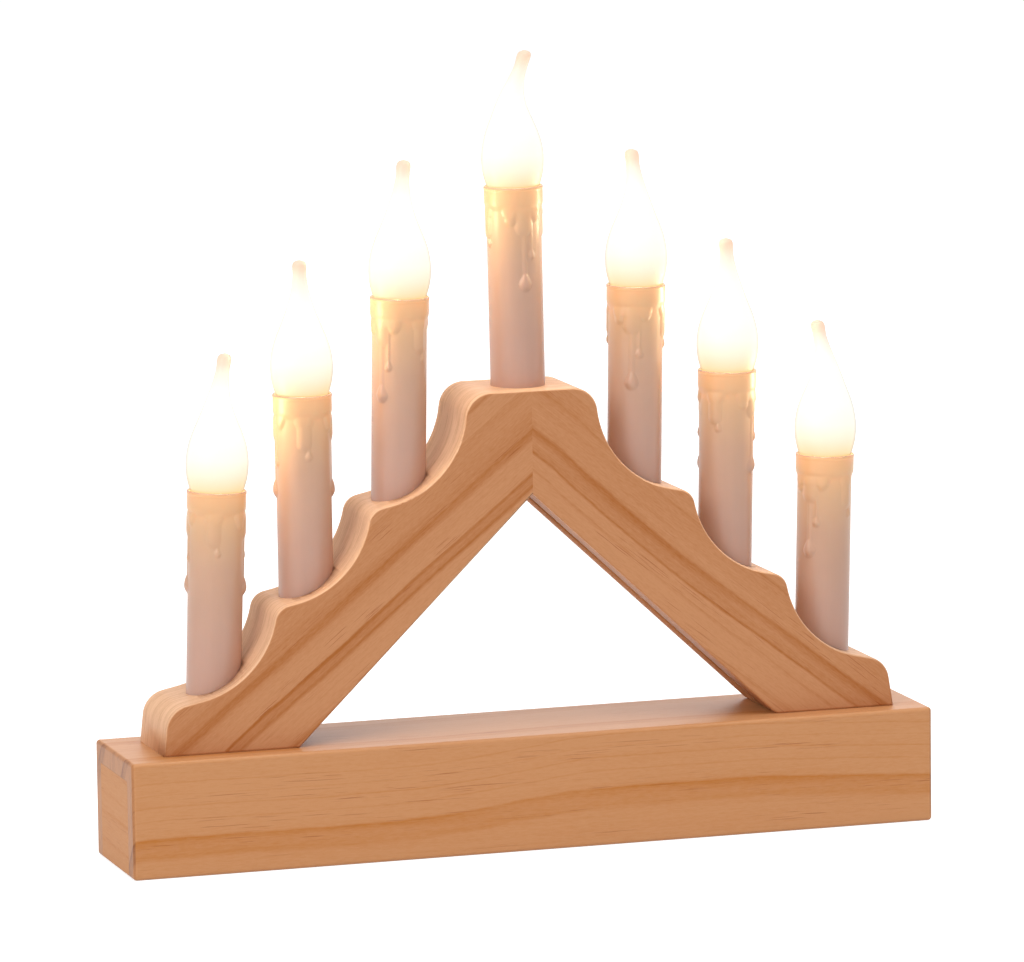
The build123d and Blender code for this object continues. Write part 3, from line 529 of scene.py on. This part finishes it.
def smooth_copy(node, name, body, material):
    """A joined copy of a CAD node that shades smoothly over its rounded edges."""
    mesh = bmesh.new()
    mesh.from_mesh(frame["nodes"][node].data)
    bmesh.ops.remove_doubles(mesh, verts=mesh.verts, dist=1e-6)
    bmesh.ops.dissolve_limit(mesh, angle_limit=radians(0.5), verts=mesh.verts, edges=mesh.edges)
    piece = finish_piece(mesh, name, body, material, (node,))
    weighted = piece.modifiers.new("Weighted normals", "WEIGHTED_NORMAL")
    weighted.keep_sharp = True


def candle_frame(number):
    """The candle's seat and axis, from the joint that its lamp turns on."""
    joint = JOINTS[f"bulb_{number}_turn"]
    turn = Vector((0, 0, 1)).rotation_difference(Vector(joint["axis"])).to_matrix().to_4x4()
    return Matrix.Translation(joint["pos_m"]) @ turn


def spun(profile):
    """A closed outline of radius and height points, turned once round Z."""
    mesh = bmesh.new()
    verts = [mesh.verts.new((radius, 0, height)) for radius, height in profile]
    pairs = zip(verts, verts[1:] + verts[:1])
    edges = [mesh.edges.new(pair) for pair in pairs]
    bmesh.ops.spin(mesh, geom=verts + edges, cent=(0, 0, 0), axis=(0, 0, 1), angle=2 * pi,
                   steps=SLEEVE_STEPS, use_merge=True)
    bmesh.ops.remove_doubles(mesh, verts=mesh.verts, dist=1e-7)
    bmesh.ops.recalc_face_normals(mesh, faces=mesh.faces)
    return mesh


def evenly(low, high, count):
    """Heights from low to high in even steps, both ends included."""
    return [low + (high - low) * step / count for step in range(count + 1)]


def rounded(inside, width):
    """The round rise of a wax edge: from zero at its border to one at its width inside."""
    share = min(max(inside / width, 0), 1)
    return share * (2 - share)


def sideways(angle, degrees, radius):
    """How far an angle lies from a drip, along the sleeve."""
    return abs((angle - radians(degrees) + pi) % (2 * pi) - pi) * radius


def lobe_height(offset, drop, length, width, proud):
    """The rise of a short broad drip at a sideways offset and a drop below the rim."""
    flare = FLARE_WIDTH * MM * max(1 - drop / (FLARE_DROP * MM), 0) ** 0.6
    reach = hypot(offset, max(drop - length + width, 0))
    swell = 0.3 + 0.4 * rounded(drop - SWELL_START * MM, SWELL_EDGE * MM)
    return proud * swell * rounded(width + flare - reach, width)


def run_height(offset, drop, length, width, proud):
    """The rise of a long thin drip that ends in a tear."""
    middle = length - 1.15 * width
    above = min(max(middle - drop, 0) / (1.75 * width), 1)
    below = max(drop - middle, 0) / (1.15 * width)
    half = width * (1 - 0.6 * above)
    trail = 0.3 * rounded(0.4 * width - hypot(offset, max(drop - middle, 0)), 0.4 * width)
    tear = width / (FULL_TEAR * MM) * max(1 - (offset / half) ** 2 - above ** 2 - below ** 2, 0)
    return proud * max(trail, tear)


def drip_height(angle, drop, sizes):
    """How far the wax stands out from the sleeve, at an angle and a drop below the rim."""
    heights = [
        shape(sideways(angle, degrees, sizes.radius), drop, run * MM, width * MM, sizes.proud)
        for shape, drips in ((lobe_height, LOBES), (run_height, RUNS)) for degrees, run, width in drips]
    heights.append(sizes.collar * rounded(COLLAR_DROP * MM - drop, COLLAR_EDGE * MM) ** 1.5)
    return sum(height ** 5 for height in heights) ** 0.2


def sleeve_mesh(sizes):
    """A hollow sleeve with its rim and its moulded wax drips."""
    low = sizes.stand - WAX_REACH
    rim_low = sizes.stand - sizes.rim_height
    heights = [-sizes.depth, 0.0] + evenly(0.004, low, 5) + evenly(low, rim_low, 96)[1:]
    outline = [(sizes.radius, height) for height in heights]
    outline += [(sizes.rim, rim_low + RIM_EDGE), (sizes.rim, sizes.stand - RIM_EDGE),
                (sizes.rim - RIM_EDGE, sizes.stand), (sizes.mouth + RIM_EDGE, sizes.stand),
                (sizes.mouth, sizes.stand - RIM_EDGE), (sizes.bore, sizes.stand - sizes.mouth_depth),
                (sizes.bore, -sizes.depth)]
    mesh = spun(outline)
    proud_layer = mesh.verts.layers.float.new("proud")
    height_layer = mesh.verts.layers.float.new("height")
    for vert in mesh.verts:
        radius = hypot(vert.co.x, vert.co.y)
        height = vert.co.z
        vert[height_layer] = max(height / sizes.stand, 0)
        if radius > sizes.radius - 1e-5 and low - 0.001 < height <= rim_low + 1e-6:
            out = drip_height(atan2(vert.co.y, vert.co.x), sizes.stand - height, sizes)
            vert[proud_layer] = out / sizes.proud
            scale = (radius + out) / radius
            vert.co.x *= scale
            vert.co.y *= scale
    return mesh


def smooth_outline(table, count):
    """Evenly spaced rows through a table of height, radius and bend, along smooth curves."""
    rows = []
    for step in range(count + 1):
        spot = (len(table) - 1) * step / count
        index = min(int(spot), len(table) - 2)
        share = spot - index
        points = [table[min(max(index + shift, 0), len(table) - 1)] for shift in (-1, 0, 1, 2)]
        row = []
        for before, start, end, after in zip(*points):
            slope_in, slope_out = (end - before) / 2, (after - start) / 2
            row.append((2 * share ** 3 - 3 * share ** 2 + 1) * start
                       + (share ** 3 - 2 * share ** 2 + share) * slope_in
                       + (3 * share ** 2 - 2 * share ** 3) * end + (share ** 3 - share ** 2) * slope_out)
        rows.append(row)
    return rows


def flame_mesh(lamps, sleeves, turn):
    """The frosted flame, from its neck in the cap to its bent tip."""
    outline = []
    base = sleeves.stand
    for share in evenly(0.0, 1.0, 5)[:-1]:
        eased = 1 - cos(share * pi / 2)
        radius = lamps.neck + (lamps.radius * FLAME_OUTLINE[0][1] - lamps.neck) * eased
        outline.append((radius, base - lamps.neck_drop * (1 - share)))
    for height, radius, _ in smooth_outline(FLAME_OUTLINE, 60):
        outline.append((max(radius, 0) * lamps.radius, base + height * lamps.height))
    outline[-1] = (0.0, outline[-1][1])
    mesh = bmesh.new()
    verts = [mesh.verts.new((radius, 0, height)) for radius, height in outline]
    edges = [mesh.edges.new(pair) for pair in zip(verts, verts[1:])]
    bmesh.ops.spin(mesh, geom=verts + edges, cent=(0, 0, 0), axis=(0, 0, 1), angle=2 * pi,
                   steps=FLAME_STEPS, use_merge=True)
    bmesh.ops.remove_doubles(mesh, verts=mesh.verts, dist=1e-7)
    bmesh.ops.holes_fill(mesh, edges=mesh.edges, sides=0)
    bmesh.ops.recalc_face_normals(mesh, faces=mesh.faces)
    height_layer = mesh.verts.layers.float.new("height")
    rows = smooth_outline(FLAME_OUTLINE, 240)
    for vert in mesh.verts:
        share = min(max((vert.co.z - base) / lamps.height, 0), 1)
        vert[height_layer] = share
        nearest = min(rows, key=lambda row: abs(row[0] - share))
        vert.co.x += nearest[2] * lamps.bend
    mesh.transform(Matrix.Rotation(radians(turn), 4, "Z"))
    return mesh


# Operators


class StageOperator(bpy.types.Operator):
    """Sets up the camera, the floor and the lights"""

    bl_idname = "candle_arch.stage"
    bl_label = "Stage"

    def execute(self, context):
        self.place_camera(context)
        self.lay_floor(context)
        self.light_world(context)
        for softbox in SOFTBOXES:
            self.hang_softbox(context, *softbox)
        context.scene.view_settings.view_transform = "Standard"
        return {"FINISHED"}

    @staticmethod
    def place_camera(context):
        """The camera that the photograph's base corners were fitted with."""
        looks = context.scene.stage_looks
        level = cos(looks.pitch)
        view = Vector((sin(looks.yaw) * level, cos(looks.yaw) * level, -sin(looks.pitch)))
        right = view.cross(Vector((0, 0, 1))).normalized()
        up = right.cross(view)
        tilted = cos(looks.roll) * right + sin(looks.roll) * up
        upright = -sin(looks.roll) * right + cos(looks.roll) * up
        place = Vector(looks.target) - view * looks.distance
        camera = bpy.data.objects.new("Camera", bpy.data.cameras.new("Camera"))
        camera.data.lens = looks.focal
        camera.data.sensor_width = 36.0
        camera.data.sensor_fit = "HORIZONTAL"
        camera.data.clip_end = 50.0
        turn = Matrix((tilted, upright, -view)).transposed().to_4x4()
        camera.matrix_world = Matrix.Translation(place) @ turn
        context.scene.collection.objects.link(camera)
        context.scene.camera = camera

    @staticmethod
    def lay_floor(context):
        """A plain floor that looks white but throws no more light than a pale one."""
        mesh = bmesh.new()
        bmesh.ops.create_grid(mesh, x_segments=4, y_segments=4, size=FLOOR_REACH)
        data = bpy.data.meshes.new("Floor")
        mesh.to_mesh(data)
        mesh.free()
        floor = bpy.data.objects.new("Floor", data)
        context.scene.collection.objects.link(floor)
        shader = Shader(bpy.data.materials.new("Floor white"))
        matt = shader.node("BsdfDiffuse", ((0.6, 0.6, 0.6),)).outputs[0]
        plain = shader.node("BsdfDiffuse", ((0.8, 0.8, 0.8),)).outputs[0]
        white = shader.node("Emission", ((1.0, 1.0, 1.0), 0.7)).outputs[0]
        both = shader.node("AddShader", (matt, white)).outputs[0]
        shader.finish(shader.node("MixShader", (seen_directly(shader), plain, both)))
        data.materials.append(shader.owner)

    @staticmethod
    def light_world(context):
        """A soft light from all sides."""
        shader = Shader(bpy.data.worlds.new("Studio"), "OutputWorld")
        background = shader.node("Background")
        strength = shader.spread(seen_directly(shader), 0.0, 1.0, context.scene.stage_looks.sky, 1.0)
        shader.put(background.inputs["Strength"], strength)
        shader.finish(background)
        context.scene.world = shader.owner

    @staticmethod
    def hang_softbox(context, name, place, size, power):
        """A large square softbox that looks at the object."""
        data = bpy.data.lights.new(name, "AREA")
        data.shape = "SQUARE"
        data.size = size
        data.energy = power
        softbox = bpy.data.objects.new(name, data)
        turn = (Vector(SOFTBOX_AIM) - Vector(place)).to_track_quat("-Z", "Y").to_matrix().to_4x4()
        softbox.matrix_world = Matrix.Translation(place) @ turn
        softbox.visible_camera = False
        context.scene.collection.objects.link(softbox)


class BoardsOperator(bpy.types.Operator):
    """Makes the base, its end plugs, its plate and the two legs of the arch"""

    bl_idname = "candle_arch.boards"
    bl_label = "Boards"

    def execute(self, context):
        looks = context.scene.pine_looks
        leg_colours = [tuple(shade) for shade in (
            looks.leg_early, looks.leg_late, looks.sawn_and_top_light, looks.sawn_and_top_light_late)]
        base_colours = [tuple(shade) for shade in (
            looks.base_early, looks.base_late, looks.end, looks.end_late)]
        pitch = radians(LEG_PITCH)
        # The legs' upward faces take the pale sawn colour, partly painted top light and sheen
        left = Grain(APEX, (0, -pitch, 0), LEFT_RINGS, 6.0, LEG_FRONT, leg_colours, (), 3.1, sawn_and_top_light=1.0)
        right = Grain(APEX, (0, pitch, 0), RIGHT_RINGS, 6.0, LEG_FRONT, leg_colours, RIGHT_BOW, 7.7,
                      sawn_and_top_light=1.0)
        base = Grain((0.0, 0.0, 0.0122), (0, 0, 0), BASE_RINGS, 1.3, BASE_FRONT, base_colours, BASE_BOW, 1.3,
                     gloss=0.3)
        smooth_copy("arch_leg_left", "leg_left", "arch", pine("Pine left leg", left))
        smooth_copy("arch_leg_right", "leg_right", "arch", pine("Pine right leg", right))
        smooth_copy("base_channel", "base", "arch", pine("Pine base", base))
        plug = Grain((0.0, 0.0, 0.0), (0, 0, radians(90)), PLAIN_RINGS, 0.5, 0.0, base_colours, (), 5.2,
                     dashes=0.3)
        plug_pine = pine("Pine plugs", plug)
        for side in ("left", "right"):
            smooth_copy(f"end_plug_{side}", f"plug_{side}", "arch", plug_pine)
        board = tuple(looks.plate)
        plate = Grain((0.0, 0.0, 0.0), (0, 0, 0), PLAIN_RINGS, 1.0, 0.0, (board, darker(board, 0.7)) * 2, (),
                      9.4, dashes=0.3)
        smooth_copy("bottom_plate", "plate", "arch", pine("Plate board", plate))
        return {"FINISHED"}


class SleevesOperator(bpy.types.Operator):
    """Makes the candle sleeves with their wax drips"""

    bl_idname = "candle_arch.sleeves"
    bl_label = "Sleeves"

    def execute(self, context):
        sizes = context.scene.sleeve_sizes
        material = wax_plastic("Candle plastic")
        pattern = sleeve_mesh(sizes)
        for number, turn in zip(CANDLES, SLEEVE_TURNS):
            mesh = pattern.copy()
            mesh.transform(candle_frame(number) @ Matrix.Rotation(radians(turn), 4, "Z"))
            finish_piece(mesh, f"candle_{number}", "arch", material, (f"sleeve_{number}",),
                         SLEEVE_SHARP)
        pattern.free()
        return {"FINISHED"}


class LampsOperator(bpy.types.Operator):
    """Makes the frosted flames of the lamps, and the light in each"""

    bl_idname = "candle_arch.lamps"
    bl_label = "Lamps"

    def execute(self, context):
        lamps, sleeves = context.scene.lamp_sizes, context.scene.sleeve_sizes
        material = flame_glass("Frosted glass")
        for number, turn in zip(CANDLES, FLAME_TURNS):
            mesh = flame_mesh(lamps, sleeves, turn)
            seat = candle_frame(number)
            mesh.transform(seat)
            flame = finish_piece(mesh, f"flame_{number}", f"lamp_{number}", material,
                                 (f"flame_glass_{number}",), FLAME_SHARP)
            flame.visible_shadow = False
            flame.visible_glossy = False
            light = bpy.data.lights.new(f"Flame light {number}", "POINT")
            light.energy = lamps.power
            light.color = lamps.light
            light.shadow_soft_size = 0.6 * lamps.radius
            glow = bpy.data.objects.new(f"Flame light {number}", light)
            glow.matrix_world = seat @ Matrix.Translation((0, 0, sleeves.stand + 0.5 * lamps.height))
            context.scene.collection.objects.link(glow)
        return {"FINISHED"}


class SocketsOperator(bpy.types.Operator):
    """Finishes the screw caps, their contacts and the lampholders"""

    bl_idname = "candle_arch.sockets"
    bl_label = "Sockets"

    def execute(self, context):
        brass = metal("Brass", srgb(214, 178, 104))
        insulator = moulded("Lamp insulator", srgb(40, 36, 34))
        stem = moulded("Lamp stem plastic", srgb(244, 222, 150))
        cup = moulded("Holder plastic", srgb(232, 224, 208))
        for number in CANDLES:
            lamp = f"lamp_{number}"
            smooth_copy(f"lamp_cap_{number}", f"screw_cap_{number}", lamp, brass)
            smooth_copy(f"lamp_stem_{number}", f"light_stem_{number}", lamp, stem)
            smooth_copy(f"lamp_contact_{number}", f"cap_tip_{number}", f"lamp_tip_{number}",
                        insulator)
        smooth_copy("holder_bodies", "lampholders", "arch", cup)
        smooth_copy("holder_shells", "lampholder_shells", "arch", brass)
        smooth_copy("holder_contacts", "lampholder_contacts", "arch", brass)
        return {"FINISHED"}


class BatteryOperator(bpy.types.Operator):
    """Finishes the battery box, its lid, the cells, the board and the switch"""

    bl_idname = "candle_arch.battery"
    bl_label = "Battery box"

    def execute(self, context):
        plastic = moulded("Box plastic", srgb(226, 222, 212))
        jacket = moulded("Cell jacket", srgb(52, 60, 70), 0.3)
        nickel = metal("Nickel plate", srgb(206, 204, 198))
        board = moulded("Circuit board", srgb(38, 104, 62), 0.35)
        black = moulded("Switch plastic", srgb(34, 33, 33))
        smooth_copy("battery_box", "cell_box", "arch", plastic)
        smooth_copy("battery_lid", "cell_lid", "lid", plastic)
        smooth_copy("battery_front", "cell_front", "arch", jacket)
        smooth_copy("battery_rear", "cell_rear", "arch", jacket)
        smooth_copy("contact_link", "cell_link", "arch", nickel)
        smooth_copy("contact_terminals", "cell_terminals", "arch", nickel)
        smooth_copy("timer_board", "timer", "arch", board)
        smooth_copy("switch_body", "switch_housing", "arch", black)
        smooth_copy("switch_slider", "switch_knob", "switch", black)
        return {"FINISHED"}


class FastenersOperator(bpy.types.Operator):
    """Finishes the screws, the dowels and the leads"""

    bl_idname = "candle_arch.fasteners"
    bl_label = "Fasteners and leads"

    def execute(self, context):
        steel = metal("Zinc plate", srgb(200, 200, 196))
        for node, name in (("arch_screws", "screws_arch"), ("plate_screws", "screws_plate"),
                           ("box_screws", "screws_box")):
            smooth_copy(node, name, "arch", steel)
        looks = context.scene.pine_looks
        colours = (tuple(looks.leg_early), tuple(looks.leg_late)) * 2
        dowel = Grain((0.0, 0.0, 0.12), (0, 0, 0), DOWEL_RINGS, 0.5, 0.0, colours, (), 2.2)
        smooth_copy("mitre_dowels", "dowels", "arch", pine("Dowel wood", dowel))
        jacket = moulded("Lead jacket", srgb(96, 60, 40), 0.36)
        for side in ("left", "right"):
            smooth_copy(f"wiring_{side}", f"leads_{side}", "arch", jacket)
        return {"FINISHED"}


class CandleArchPanel(bpy.types.Panel):
    """Lists what the candle arch is made of"""

    bl_idname = "VIEW3D_PT_candle_arch"
    bl_label = "Candle Arch"
    bl_space_type = "VIEW_3D"
    bl_region_type = "UI"
    bl_category = "Candle Arch"

    def draw(self, context):
        column = self.layout.column()
        for operator in OPERATORS:
            column.operator(operator.bl_idname)
        for group in GROUPS:
            settings = getattr(context.scene, group)
            for name in settings.__annotations__:
                column.prop(settings, name)


OPERATORS = (StageOperator, BoardsOperator, SleevesOperator, LampsOperator, SocketsOperator, BatteryOperator,
             FastenersOperator)
GROUPS = {"pine_looks": PineLooks, "sleeve_sizes": SleeveSizes, "lamp_sizes": LampSizes,
          "stage_looks": StageLooks}


def register():
    for made in (*GROUPS.values(), *OPERATORS, CandleArchPanel):
        bpy.utils.register_class(made)
    for name, group in GROUPS.items():
        setattr(bpy.types.Scene, name, bpy.props.PointerProperty(type=group))


def unregister():
    for name in GROUPS:
        delattr(bpy.types.Scene, name)
    for made in reversed((*GROUPS.values(), *OPERATORS, CandleArchPanel)):
        bpy.utils.unregister_class(made)


def main():
    register()
    for operator in OPERATORS:
        family, name = operator.bl_idname.split(".")
        getattr(getattr(bpy.ops, family), name)()


if __name__ == "__main__":
    main()
